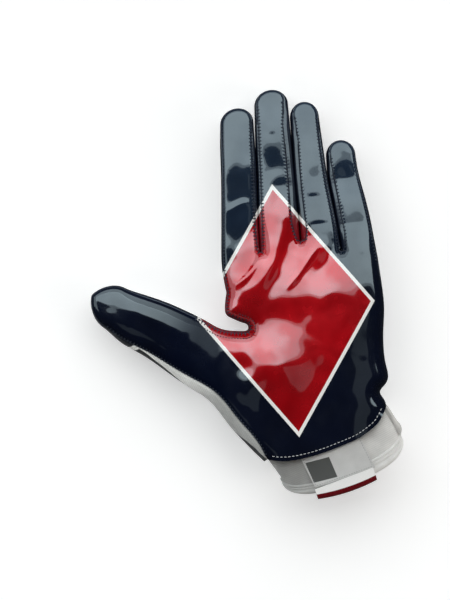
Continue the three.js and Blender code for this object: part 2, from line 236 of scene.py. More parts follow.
class Digit:
    """A finger or the thumb: half width w, half height h, centre level z and centre offset.

    Stations s run along its axis from its root, and offsets to its right, seen tip up. A pair has
    the left side's value first. The tip is its station, offset and level. The flare is how much
    further in the left seam lies at the root, and a tip with a point above 1 is less blunt.
    """

    def __init__(
        self,
        rows,
        tip,
        start,
        seams,
        ticks,
        tip_length=FINGER_TIP,
        root=(0, 0),
        degrees=90,
        flare=0,
        point=1,
    ):
        cos, sin = heading(degrees)
        self.tip_length = tip_length
        self.flare = flare
        self.point = point
        self.root = np.array(root, dtype=float)
        self.along = np.array([cos, sin])
        self.across = np.array([sin, -cos])
        self.start = start
        self.seam_left, self.seam_right = seams
        self.ticks_left, self.ticks_right = ticks
        rows = table(rows)
        s, off, z = tip
        self.tip = s
        self.neck = s - tip_length
        last = {name: values[-1] for name, values in rows.items()}
        share = (self.neck - last["s"]) / (s - last["s"])
        drop = min(share, NECK_DROP)
        neck = [mix(last["off"], off, share), last["w"] - drop, last["h"] - drop]
        neck.append(mix(last["z"], z, share))
        ends = [neck, [off, neck[1], neck[2], z]]
        stations = rows["s"]
        if share <= 0:
            ends = ends[1:]
        else:
            stations = np.append(stations, self.neck)
        values = np.vstack([stacked(rows, "off w h z"), ends])
        self.form = Spline(np.append(stations, s), values)

    def place(self, s, off):
        return self.root + np.outer(s, self.along) + np.outer(off, self.across)

    def edge(self, stations, side):
        """Points on one side, and the seam's distance in from them."""
        off, w = self.form(stations).T[:2]
        flared = self.seam_left + self.flare * (1 - stations / self.tip) ** 2
        seam = self.seam_right if side > 0 else flared
        seam = seam * mix(1, NECK_SEAM, smoothstep(self.neck - NECK_REACH, self.neck, stations))
        share = smoothstep(self.start + START_REACH[0], self.start + START_REACH[1], stations)
        return np.column_stack([self.place(stations, off + side * w), mix(CROTCH_SEAM, seam, share)])

    def arc(self, degrees):
        """Points over the tip, from its right at 0 degrees to its left at 180."""
        turn = np.radians(degrees)
        stations = self.neck + self.tip_length * np.sin(turn)
        off = self.form(stations)[:, 0]
        out = self.form(self.neck)[0, 1] * signed_power(np.cos(turn), self.point)
        seam = NECK_SEAM * np.where(np.cos(turn) > 0, self.seam_right, self.seam_left)
        seams = mix(seam, TIP_SEAM, smoothstep(*TIP_REACH, np.sin(turn)))
        return np.column_stack([self.place(stations, off + out), seams])

    def local(self, points):
        """Stations and offsets from the digit's own centre line."""
        offset = points - self.root
        s = offset @ self.along
        return s, offset @ self.across - self.form(s)[:, 0]


INDEX = Digit(
    """
    s off w h z
    26 -30.9 10 9.4 12
    42 -30.5 11.5 10.4 11.6
    56 -29.55 11.35 10 10.6
    74 -28.05 10.95 9.9 10.5
    88 -26.85 10.75 9.8 10.6
    101 -25.9 10.6 9.8 10.8
    112 -25.3 10.4 9.2 10.4
    """,
    tip=(134.2, -23.7, 8.9),
    start=46,
    seams=(1.4, 2.3),
    ticks=(0.2, 1),
)
MIDDLE = Digit(
    """
    s off w h z
    26 -6.7 10.9 9.8 12.4
    42 -6.6 12.2 10.6 12
    56 -6.2 12.1 10.8 11.4
    74 -5.5 11.7 10.2 10.9
    92 -4.7 11.2 9.6 10.4
    119 -3.7 10.5 8.6 10.2
    """,
    tip=(142.9, -2.6, 9.7),
    start=50,
    seams=(2.1, 4.8),
    ticks=(0.9, 0.5),
)
RING = Digit(
    """
    s off w h z
    22 17.3 10.8 9.4 12
    38 17.4 11.9 10.2 11.6
    52 17.4 11.5 10.6 11.2
    70 16.6 10.7 10 10.7
    88 15.8 9.9 9.4 10.2
    111 15.8 9 8.4 9.8
    """,
    tip=(133.9, 15.9, 9.3),
    start=46,
    seams=(3.9, 2.0),
    ticks=(0.3, 0.9),
)
LITTLE = Digit(
    """
    s off w h z
    16 39.6 9.7 9 11.6
    32 39.5 11 9.6 11.2
    46 39.2 10.3 9.6 10.6
    60 38.1 10.2 9.1 10.2
    76 36.5 9.7 8.5 9.8
    90 35 9.1 7.9 9.5
    """,
    tip=(109.2, 34.9, 9.1),
    start=42,
    seams=(3.6, 1.5),
    ticks=(0.4, 0.6),
)
FINGERS = (INDEX, MIDDLE, RING, LITTLE)
THUMB_DEGREES = 145.8
THUMB_ROOT = (-41.9, -20.5)
THUMB = Digit(
    """
    s off w h z
    -20 3 17 11.5 13.6
    -2 1 21.5 12.6 13.4
    16 0 20.6 12.4 13
    34 0.2 18.8 11.6 12.4
    52 0.6 17.2 10.6 11.8
    68 -0.3 15.6 9.6 11.6
    79 0.1 13.4 8.6 12
    """,
    tip=(95.0, 0.3, 12.6),
    tip_length=16,
    start=-10,
    seams=(2.5, 1.4),
    flare=6.2,
    point=1.45,
    ticks=(0.4, 0.1),
    root=THUMB_ROOT,
    degrees=THUMB_DEGREES,
)

# How far down the slits between fingers are open
SLITS = ((LITTLE, RING, 44.6), (RING, MIDDLE, 52.6), (MIDDLE, INDEX, 48.8))

# The palm's levels along Y: edge level, height over it, radius of the edge's rounding,
# boxiness of the edge, and the crown's height
PALM = table(
    """
    y z high radius power crown
    -90 16.8 12.6 11 2.4 1.3
    -75 15.9 12.7 11 2.4 1.8
    -60 15 12.5 11 2.4 2.4
    -40 13.9 12.3 11 2.4 2.7
    -20 12.9 12.3 11 2.4 2.6
    0 12.4 12.2 11 2.4 2.6
    12 12.2 12.1 11 2.4 2.5
    20 12.1 11.9 11 2.4 2.5
    30 11.9 11.3 11 2.5 2
    40 11.6 10.9 11 2.6 1.4
    52 11.2 10.6 11 2.8 0.7
    62 10.9 10.5 11 3 0.2
    70 10.8 10.2 11 3 0
    """
)
PALM_FORM = Spline(PALM["y"], stacked(PALM, "z high radius power crown"))
# How far below the floor the palm's back would reach if it weren't flattened, and the crown's
# middle and reach along X
PALM_BELOW = 0.8
CROWN_MIDDLE = 2
CROWN_REACH = 38
# The boxiness of the digits' edges, and their radius as a share of the half width
FINGER_POWER = 4.2
TIP_POWER = 4.0
THUMB_POWER = 2.5
DIGIT_RADIUS = 0.98
# Over what lengths the palm turns into a finger, a finger into its tip, and the palm into the
# thumb, and how far to its sides the thumb's form holds
FINGER_BLEND = 18
TIP_BLEND = 22
THUMB_BLEND = (2, 34)
THUMB_SIDES = (22, 32)
# The floor below the back, and how softly things lie on it
FLOOR_GAP = 0.15
FLOOR_EASE = 0.6

# Mounds of the palm, and soft hollows: middle, radii along and across their turn, height
MOUNDS = table(
    """
    x y reach breadth degrees high
    -21 -21 25 17 8 4.3
    -35 -19 8 6 90 -1.3
    30 -22 34 16 85 0.8
    -17 61 10 4 90 -0.9
    -31 48 12 9 90 -1.7
    -38 34 12 7 90 -1.2
    -35 15 13 9 90 -1.6
    18 35.5 12 5.5 65 -1.6
    10 54 4 3 90 -0.5
    17 60.5 1.6 4 90 -0.3
    15 77 1.5 3 90 -0.15
    -4 83.5 5 6 90 -1
    -5.5 94.5 9 6 90 -1
    -4.5 115.5 2.2 2.4 90 -0.18
    37.5 85.5 7 8 90 -1.5
    43 -62 10 8 90 -1.8
    -112 13 10 12 90 2
    """
)

# Folds of the film: a bowed line from (x1, y1) to (x2, y2), how far its middle stands off to the
# left, its height, and the widths of its left and right flanks. A fold fades over these shares of
# its length
FOLDS = table(
    """
    x1 y1 x2 y2 bow high left right
    0 80 -26 23 4 2 5.2 8
    -16.5 50 -34 30.5 1.8 1 2.2 1.3
    15 49 -4.5 26 0.5 1 2 1.2
    -36 73 -22 78 1 0.5 2 3
    49 -39 38 -37 1 -0.3 3.5 4
    -52 -3.4 -109.4 29.6 -2 1.2 7 6
    -50 -8 -66 6 -2 -0.8 4 4
    """
)
FOLD_START = (-0.12, 0.25)
FOLD_END = (0.75, 1.12)

# Long soft waves over the whole film, whose lengths vary: length, direction, height and shift
WAVES = table(
    """
    length degrees high shift
    23 15 0.06 0.3
    31 100 0.06 1.7
    17 62 0.03 4.1
    13 140 0.02 2.6
    """
)
WAVE_SWING = 0.8
WAVE_PACE = 0.61


def slit_x(left, right, y):
    """The middle of the slit between two neighbouring fingers."""
    left_off, left_w = left.form(y).T[:2]
    right_off, right_w = right.form(y).T[:2]
    return (left_off + left_w + right_off - right_w) / 2


def digit_form(digit, stations, power):
    w, h, z = digit.form(stations).T[1:]
    return np.column_stack([z, h, DIGIT_RADIUS * w, power, 0 * w, h])


def form_at(points):
    """Edge level, height, edge radius, boxiness, crown and depth below the edge at points."""
    x, y = points.T
    palm = PALM_FORM(y)
    values = np.column_stack([palm, palm[:, 0] + PALM_BELOW])
    which = sum((x > slit_x(a, b, y)).astype(int) for a, b in zip(FINGERS, FINGERS[1:]))
    for i, finger in enumerate(FINGERS):
        share = smoothstep(finger.start, finger.start + FINGER_BLEND, y) * (which == i)
        power = mix(TIP_POWER, FINGER_POWER, smoothstep(finger.tip, finger.tip - TIP_BLEND, y))
        values = mix(values, digit_form(finger, np.minimum(y, finger.tip), power), share[:, None])
    s, off = THUMB.local(points)
    share = smoothstep(*THUMB_BLEND, s) * (1 - smoothstep(*THUMB_SIDES, np.abs(off)))
    power = np.full(len(s), THUMB_POWER)
    return mix(values, digit_form(THUMB, np.minimum(s, THUMB.tip), power), share[:, None]).T


def edge_rise(share, power):
    """How high a rounded edge has risen, from 0 at the outline to 1 a radius in."""
    return (1 - (1 - np.clip(share, 0, 1)) ** power) ** (1 / power)


def edge_inset(rise, power):
    """The share of the radius at which an edge has risen so high."""
    return 1 - (1 - rise**power) ** (1 / power)


def relief_at(points):
    """Mounds, folds and soft waves."""
    x, y = points.T
    high = np.zeros(len(points))
    for mx, my, reach, breadth, degrees, rise in zip(*MOUNDS.values()):
        cos, sin = heading(degrees)
        along = (x - mx) * cos + (y - my) * sin
        across = (y - my) * cos - (x - mx) * sin
        high += rise * bell(along / reach) * bell(across / breadth)
    for x1, y1, x2, y2, bow, rise, left, right in zip(*FOLDS.values()):
        length = math.hypot(x2 - x1, y2 - y1)
        ux, uy = (x2 - x1) / length, (y2 - y1) / length
        share = ((x - x1) * ux + (y - y1) * uy) / length
        off = (y - y1) * ux - (x - x1) * uy - 4 * bow * share * (1 - share)
        fade = smoothstep(*FOLD_START, share) * (1 - smoothstep(*FOLD_END, share))
        high += rise * fade * bell(off / np.where(off > 0, left, right))
    for length, degrees, rise, shift in zip(*WAVES.values()):
        cos, sin = heading(degrees)
        phase = (x * cos + y * sin) * 2 * math.pi / length
        high += rise * np.sin(phase + shift + WAVE_SWING * np.sin(WAVE_PACE * phase))
    return high


# Stretches of the outline. Columns: x, y, distance in to the palm-side seam
RIGHT_SIDE = rows_of(
    """
    45.9 -49.8 0.4
    44.8 -45.6 0.4
    42.9 -41 0.4
    46 -37.4 0.4
    48.5 -33.4 0.4
    48.2 -26 0.4
    47.8 -16.8 0.4
    49.2 -2.6 0.4
    50.8 8.6 0.5
    51 19.8 0.8
    50.5 31 1.2
    50.3 36 1.2
    """
)
NOTCH = rows_of(
    """
    -41.6 24 1.2
    -42.8 17.5 1.3
    -42.4 13.6 1.3
    -38.6 10.6 1.3
    -33.6 7.9 1.3
    -30.4 5.8 1.3
    -30.6 3.5 1.3
    -34.6 3 1.3
    -41 3.9 1.3
    -47.4 6.1 1.3
    -54.2 10.8 1.3
    -59.6 14.4 1.3
    """
)
THUMB_SIDE = rows_of(
    """
    -67.3 -28.1 6.8
    -58.9 -34.7 7
    -53 -42.4 7.1
    -47.4 -51.6 7.2
    -41 -60.4 7.2
    -34.8 -68.2 5.8
    -29.4 -74.5 2.8
    """
)
# The palm side's lower hem. Columns: x, y
HEM = rows_of(
    """
    -26.9 -73
    -16.9 -74.6
    -7.7 -74.2
    1.6 -72.8
    11.2 -70.5
    20 -68
    28.8 -64.8
    33.7 -62
    38.9 -58.4
    43.2 -52.8
    45.3 -49.9
    """
)
# Stations at which the little finger's, the index finger's and the thumb's sides start or end
LITTLE_FOOT = 36
INDEX_FOOT = 26
THUMB_FROM = 36
THUMB_TO = 18
# How plain the stitches are on the stretches between digits
RIGHT_TICKS = 0.1
SLIT_TICKS = 0.8
THUMB_SIDE_TICKS = 0.4
# How deep a slit's round end is, for its half width
SLIT_DEEP = 1.3


def slit_end(left, right, depth):
    """The round end of a slit, from the right finger's edge to the left one's."""
    from_edge = right.edge(np.array([depth]), -1)[0, :2]
    to_edge = left.edge(np.array([depth]), 1)[0, :2]
    middle = (from_edge + to_edge) / 2
    turn = np.radians(np.linspace(0, -180, 13))[1:-1]
    half = np.linalg.norm(to_edge - from_edge) / 2
    x = middle[0] + half * np.cos(turn)
    y = middle[1] + SLIT_DEEP * half * np.sin(turn)
    return np.column_stack([x, y, np.full(len(turn), CROTCH_SEAM)])


def outline_runs():
    """The hand's outline from the wrist's little-finger side round to its thumb side.

    Each run is points with the palm-side seam's distance in, and how plain its stitches are. The
    runs that start at a tip's middle are given too.
    """
    half = np.linspace(0, 90, ARC_POINTS)
    runs = [(smooth_line(RIGHT_SIDE, EDGE_STEP)[:-1], RIGHT_TICKS)]
    tips = []

    def go_round(digit, low, depth):
        runs.append((digit.edge(np.arange(low, digit.neck, EDGE_STEP), 1), digit.ticks_right))
        runs.append((digit.arc(half), 0))
        tips.append(len(runs))
        runs.append((digit.arc(half[1:] + 90), 0))
        down = np.arange(digit.neck - EDGE_STEP, depth, -EDGE_STEP)
        runs.append((digit.edge(down, -1), digit.ticks_left))

    low = LITTLE_FOOT
    for right, left, depth in SLITS:
        go_round(right, low, depth)
        runs.append((slit_end(left, right, depth), SLIT_TICKS))
        low = depth
    go_round(INDEX, low, INDEX_FOOT)
    notch = len(runs)
    runs.append((smooth_line(NOTCH, EDGE_STEP), SLIT_TICKS))
    go_round(THUMB, THUMB_FROM, THUMB_TO)
    runs.append((smooth_line(THUMB_SIDE, EDGE_STEP), THUMB_SIDE_TICKS))
    return runs, tips, notch


RUNS, TIP_RUNS, NOTCH_RUN = outline_runs()
OUTLINE = np.vstack([points for points, _ in RUNS])
TICKS = np.concatenate([np.full(len(points), plain) for points, plain in RUNS])
MARKS = np.cumsum([0] + [len(points) for points, _ in RUNS])
TIPS = [MARKS[i] for i in TIP_RUNS]
NOTCH_SPAN = slice(MARKS[NOTCH_RUN], MARKS[NOTCH_RUN + 1])
EDGE = OUTLINE[:, :2]
SEAM_INSET = OUTLINE[:, 2]
EDGE_IN = inward(EDGE)
FRONT_SEAM = EDGE + EDGE_IN * SEAM_INSET[:, None]
BACK_LINE = EDGE + EDGE_IN * BACK_SEAM
HEM_LINE = smooth_line(HEM, EDGE_STEP)
# The back's lower hem
BACK_HEM = [[-28.6, -75.4], [0.0, -71.5], [25.0, -62.5], [45.0, -50.0]]

# The seam's groove and its flanks, the puckers that its stitches draw, and how much of it all
# the back has
GROOVE = 0.4
GROOVE_WIDTH = 0.55
PUCKER = 0.22
PUCKER_WIDTH = 1.5
STITCH_PITCH = 2.05
BACK_RELIEF = 0.7


def seam_relief(distance, place, line):
    plain = np.interp(place, lengths_along(line), TICKS)
    pull = (0.5 - 0.5 * np.cos(2 * math.pi * place / STITCH_PITCH)) * plain
    return -GROOVE * bell(distance / GROOVE_WIDTH) - PUCKER * pull * bell(distance / PUCKER_WIDTH)


def top_at(points, depth=None):
    """The palm side's level over points, whose distance from the outline may be given."""
    z, high, radius, power, crown, _ = form_at(points)
    if depth is None:
        depth = nearest(EDGE, points)[0]
    rise = edge_rise(depth / radius, power)
    crowned = crown * np.exp(-(((points[:, 0] - CROWN_MIDDLE) / CROWN_REACH) ** 4))
    seam = seam_relief(*nearest(FRONT_SEAM, points), FRONT_SEAM)
    return z + rise * (high + crowned + relief_at(points) + seam)


def bottom_at(points, depth=None):
    """The back's level, flattened on the floor."""
    z, _, radius, power, _, below = form_at(points)
    if depth is None:
        depth = nearest(EDGE, points)[0]
    seam = seam_relief(*nearest(BACK_LINE, points), BACK_LINE)
    low = z - edge_rise(depth / radius, power) * (below + BACK_RELIEF * seam)
    return softly_above(low, FLOOR_GAP, FLOOR_EASE)


def triangles_of(rows, columns, closed_rows=False, closed_columns=False):
    """Triangles over a grid of points, row by row."""
    i = np.arange(rows if closed_rows else rows - 1)
    j = np.arange(columns if closed_columns else columns - 1)
    i, j = (part.ravel() for part in np.meshgrid(i, j, indexing="ij"))
    a = i * columns + j
    b = i * columns + (j + 1) % columns
    c = (i + 1) % rows * columns + (j + 1) % columns
    d = (i + 1) % rows * columns + j
    return np.vstack([np.column_stack([a, b, c]), np.column_stack([a, c, d])])


def point_normals(points, triangles):
    a, b, c = (points[triangles[:, i]] for i in range(3))
    faces = np.cross(b - a, c - a)
    normals = np.zeros_like(points)
    for i in range(3):
        np.add.at(normals, triangles[:, i], faces)
    return normals / np.maximum(np.linalg.norm(normals, axis=1), 1e-12)[:, None]


def faced(points, triangles, facing):
    """Triangles turned over where need be, so that they face up (1) or down (-1)."""
    wrong = point_normals(points, triangles)[:, 2].mean() * facing < 0
    return triangles[:, ::-1] if wrong else triangles


def shell(points, triangles, thickness):
    """The closed shell of a sheet whose outside is given: it, its inside, and the rim."""
    count = len(points)
    inner = points - point_normals(points, triangles) * thickness
    sides = np.vstack([triangles[:, [0, 1]], triangles[:, [1, 2]], triangles[:, [2, 0]]])
    keys = sides[:, 0] * count + sides[:, 1]
    a, b = sides[~np.isin(keys, sides[:, 1] * count + sides[:, 0])].T
    rim = np.vstack([np.column_stack([b, a, a + count]), np.column_stack([b, a + count, b + count])])
    return np.vstack([points, inner]), np.vstack([triangles, triangles[:, ::-1] + count, rim])


def placed(name, data):
    """A new object in the scene."""
    made = bpy.data.objects.new(name, data)
    bpy.context.scene.collection.objects.link(made)
    return made


def make_piece(name, points, triangles, material, node, slot):
    """A mesh object in metres that rides on the frame and stands for a node of the part."""
    mesh = bpy.data.meshes.new(name)
    mesh.from_pydata((np.asarray(points) * MM).tolist(), [], np.asarray(triangles).tolist())
    mesh.polygons.foreach_set("use_smooth", [True] * len(mesh.polygons))
    mesh.set_sharp_from_angle(angle=math.radians(CREASE))
    mesh.materials.append(material)
    piece = placed(name, mesh)
    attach(piece, "root")
    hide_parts(node)


# The rings' points are thinned past this depth, and dropped where a ring comes this share of its
# depth from another edge. The grid starts this share of a step past the last ring
RING_THINNED = 1.2
RING_SHARE = 0.93
GRID_GAP = 0.6


def sheet_mesh(loop, step, rings):
    """Points and triangles that fill a loop: the loop, rings drawn in from it, and a hex grid."""
    normals = left_of(np.roll(loop, -1, axis=0) - np.roll(loop, 1, axis=0))
    closed = np.vstack([loop, loop[:1]])
    points = [loop]
    for depth in rings:
        line = (loop + normals * depth)[:: 1 if depth < RING_THINNED else 2]
        points.append(line[nearest(closed, line)[0] > RING_SHARE * depth])
    low, high = loop.min(axis=0), loop.max(axis=0)
    columns = np.arange(low[0], high[0], step)
    grid = []
    for i, y in enumerate(np.arange(low[1], high[1], step * math.sqrt(3) / 2)):
        grid.append(np.column_stack([columns + step / 2 * (i % 2), np.full(len(columns), y)]))
    grid = np.vstack(grid)
    grid = grid[inside(loop, grid)]
    grid = grid[nearest(closed, grid)[0] > max(rings) + GRID_GAP * step]
    points = np.vstack([*points, grid])
    count = len(loop)
    sides = [(i, (i + 1) % count) for i in range(count)]
    made = delaunay_2d_cdt([Vector(p) for p in points.tolist()], sides, [], 1, 1e-6)
    return np.array([tuple(p) for p in made[0]]), np.array([list(face) for face in made[2]])


def surface_tree(points, triangles):
    return BVHTree.FromPolygons(np.asarray(points).tolist(), np.asarray(triangles).tolist())


def panel(name, loop, step, rings, level_at, facing, thickness, *looks):
    """A panel over a loop seen from above, and its outer surface."""
    flat, triangles = sheet_mesh(loop, step, rings)
    points = np.column_stack([flat, level_at(flat)])
    triangles = faced(points, triangles, facing)
    make_piece(name, *shell(points, triangles, thickness), *looks)
    return surface_tree(points, triangles)


# How far a strip runs on under the film and the knit, how far before the seam it starts to go
# under, and how much lower than their inside it lies
LAP = 0.8
LAP_EASE = 0.6
LAP_DROP = 0.4
# The columns over a strip's two sides
FRONT_COLUMNS = 16
BACK_COLUMNS = 7
# A raised line along strips that are wide enough
RIB_PLACE = 2.5
RIB_WIDTH = 0.45
RIB_HIGH = 0.3
RIB_SEAMS = (2.4, 3.4)


def strip_points(edge, normals, seam):
    """A strip's points, row by row from under the film over the outline to under the knit."""
    _, _, radius, power, _, _ = form_at(edge)

    def reached(seam, share):
        """Points a share of the way up to the lap past a seam, their depth, and how far under."""
        rise = edge_rise((seam + LAP) / radius, power) * share
        depth = radius * edge_inset(rise, power)
        return edge + normals * depth[:, None], depth, smoothstep(-LAP_EASE, LAP, depth - seam)

    columns = []
    for step in range(FRONT_COLUMNS + 1):
        points, depth, under = reached(seam, math.cos(math.pi / 2 * step / FRONT_COLUMNS))
        rib = RIB_HIGH * bell((seam - depth - RIB_PLACE) / RIB_WIDTH) * smoothstep(*RIB_SEAMS, seam)
        level = top_at(points, depth) - under * (FILM + LAP_DROP) + rib
        columns.append(np.column_stack([points, level]))
    for step in range(1, BACK_COLUMNS + 1):
        points, depth, under = reached(BACK_SEAM, math.sin(math.pi / 2 * step / BACK_COLUMNS))
        level = bottom_at(points, depth) + under * (KNIT + LAP_DROP)
        columns.append(np.column_stack([points, level]))
    grid = np.stack(columns, axis=1)
    return grid.reshape(-1, 3), grid.shape[:2]


def strips(pieces):
    """The side strips, one from each tip to the next."""
    ends = [0, *TIPS, len(EDGE) - 1]
    for (name, *looks), start, end in zip(pieces, ends, ends[1:]):
        span = slice(start, end + 1)
        points, shape = strip_points(EDGE[span], EDGE_IN[span], SEAM_INSET[span])
        make_piece(name, *shell(points, triangles_of(*shape), STRIP), *looks)


# The cuff: sections from a thumb-side point to a little-finger-side point, half height, level,
# and how far the palm side is drawn back
CUFF = table(
    """
    x1 y1 x2 y2 h z sag
    -18.3 -88.6 51.8 -71.3 12.8 17.2 11
    -20.9 -83.6 50.2 -62 12.8 16.6 8.6
    -25.4 -76 45.9 -52.4 12.3 15.8 4.5
    -31.4 -65.6 40.6 -41.2 11.9 15 0
    """
)
# The boxiness of its sections, the power by which the draw fades on the little finger's side, the
# floor below its surface and how softly it lies there, and a soft dent
CUFF_POWER = 2.5
CUFF_SLANT = 1.2
CUFF_FLOOR = 2.2
CUFF_EASE = 0.5
DENT = {"turn": 1.05, "width": 0.16, "station": 14.0, "length": 5.0, "deep": 1.6}
CUFF_MIDDLES = np.column_stack([(CUFF["x1"] + CUFF["x2"]) / 2, (CUFF["y1"] + CUFF["y2"]) / 2])
CUFF_STATIONS = lengths_along(CUFF_MIDDLES)
CUFF_FORM = Spline(CUFF_STATIONS, stacked(CUFF, "x1 y1 x2 y2 h z sag"))
TURN_STEP = 1.5
CUFF_TURNS = np.arange(0, 360, TURN_STEP)
STRAP_TURNS = np.arange(-104, 19, TURN_STEP)
BINDING_STEP = 0.3
STRAP_STEP = 0.7
# The tube's ends, short of the cuff's, and its rows outside and inside
TUBE_ENDS = (0.5, 1.0)
TUBE_ROWS = (24, 12)

# Profiles round the cuff: distance from its open end, and out from its surface
BINDING_PROFILE = rows_of(
    """
    5.2 0.05
    5 0.8
    4.5 1.15
    4.05 0.8
    3.8 0.6
    3.5 0.95
    3.1 1.25
    2.7 0.95
    2.45 0.8
    1.6 1.4
    0.4 1.2
    -0.5 0.1
    -0.6 -1.2
    0.2 -2.5
    2 -2.7
    4.2 -2.3
    4.4 -1.6
    1.6 -1.2
    1.4 -0.6
    3 -0.3
    """
)
STRAP_PROFILE = rows_of(
    """
    6.3 0.4
    5.9 1.4
    6.2 2.5
    7 2.8
    8.6 2.3
    10.5 1.9
    14 1.8
    19.5 1.8
    20.4 1.4
    20.4 0.5
    14 0.3
    """
)


def cuff_at(station, layer, degrees):
    """Points so far from the cuff's open end, so far out of its surface, at turns round it."""
    turn = np.radians(degrees)
    station, layer = (np.broadcast_to(part, turn.shape) for part in (station, layer))
    x1, y1, x2, y2, h, z, sag = CUFF_FORM(station).T
    span = np.hypot(x2 - x1, y2 - y1)
    ax, ay = (x2 - x1) / span, (y2 - y1) / span
    reach = signed_power(np.cos(turn), 2 / CUFF_POWER)
    rise = signed_power(np.sin(turn), 2 / CUFF_POWER)
    ahead = -sag * np.maximum(rise, 0) ** np.where(reach > 0, CUFF_SLANT, 1)
    out = (span / 2 + layer) * reach
    dent = bell((turn - DENT["turn"]) / DENT["width"])
    dent = dent * bell((station - DENT["station"]) / DENT["length"])
    level = z + (h + layer) * rise - DENT["deep"] * dent
    level = softly_above(level, CUFF_FLOOR - layer, CUFF_EASE)
    x = (x1 + x2) / 2 + ax * out - ay * ahead
    y = (y1 + y2) / 2 + ay * out + ax * ahead
    return np.column_stack([x, y, level])


def round_cuff(profile, turns, closed=True):
    """A closed profile of (station, layer) points swept round the cuff."""
    points = np.vstack([cuff_at(station, layer, turns) for station, layer in profile])
    columns = len(turns)
    triangles = triangles_of(len(profile), columns, True, closed)
    if not closed:
        caps = []
        for end, flip in ((0, False), (columns - 1, True)):
            ring = [row * columns + end for row in range(len(profile))]
            fan = np.array([[len(points), a, b] for a, b in zip(ring, ring[1:] + ring[:1])])
            caps.append(fan[:, ::-1] if flip else fan)
            points = np.vstack([points, points[ring].mean(axis=0)])
        triangles = np.vstack([triangles, *caps])
    return points, triangles


# From how high points are dropped on a surface
DROP_FROM = 200


def dropped(tree, points):
    """The level of a surface under points seen from above."""
    levels = []
    for x, y in points:
        place = tree.ray_cast(Vector((x, y, DROP_FROM)), Vector((0, 0, -1)))[0]
        levels.append(place.z if place else np.nan)
    return np.array(levels)


THREAD_SIDES = 6
THREAD_TURNS = np.linspace(0, 2 * np.pi, THREAD_SIDES, endpoint=False)[:, None]
# Shares of a stitch's length, and of its radius there
STITCH_SHARES = np.array([0, 0.08, 0.25, 0.75, 0.92, 1])
STITCH_SIZES = np.array([0, 0.75, 1, 1, 0.75, 0])


def thread(line, radii):
    """A thin closed tube along a line of points, with a radius at each."""
    ahead = unit(np.gradient(line, axis=0))
    side = unit(np.cross(ahead, (0, 0, 1)))
    up = np.cross(side, ahead)
    ring = side[:, None] * np.cos(THREAD_TURNS) + up[:, None] * np.sin(THREAD_TURNS)
    points = line[:, None] + ring * radii[:, None, None]
    return points.reshape(-1, 3), triangles_of(len(line), THREAD_SIDES, False, True)


def capsules(starts, ends, radius):
    """Short stitches, each a rounded rod from a start to an end."""
    points, triangles = [], []
    for start, end in zip(starts, ends):
        line = start + np.outer(STITCH_SHARES, end - start)
        made = thread(line, radius * STITCH_SIZES)
        triangles.append(made[1] + len(points) * len(made[0]))
        points.append(made[0])
    return np.vstack(points), np.vstack(triangles)


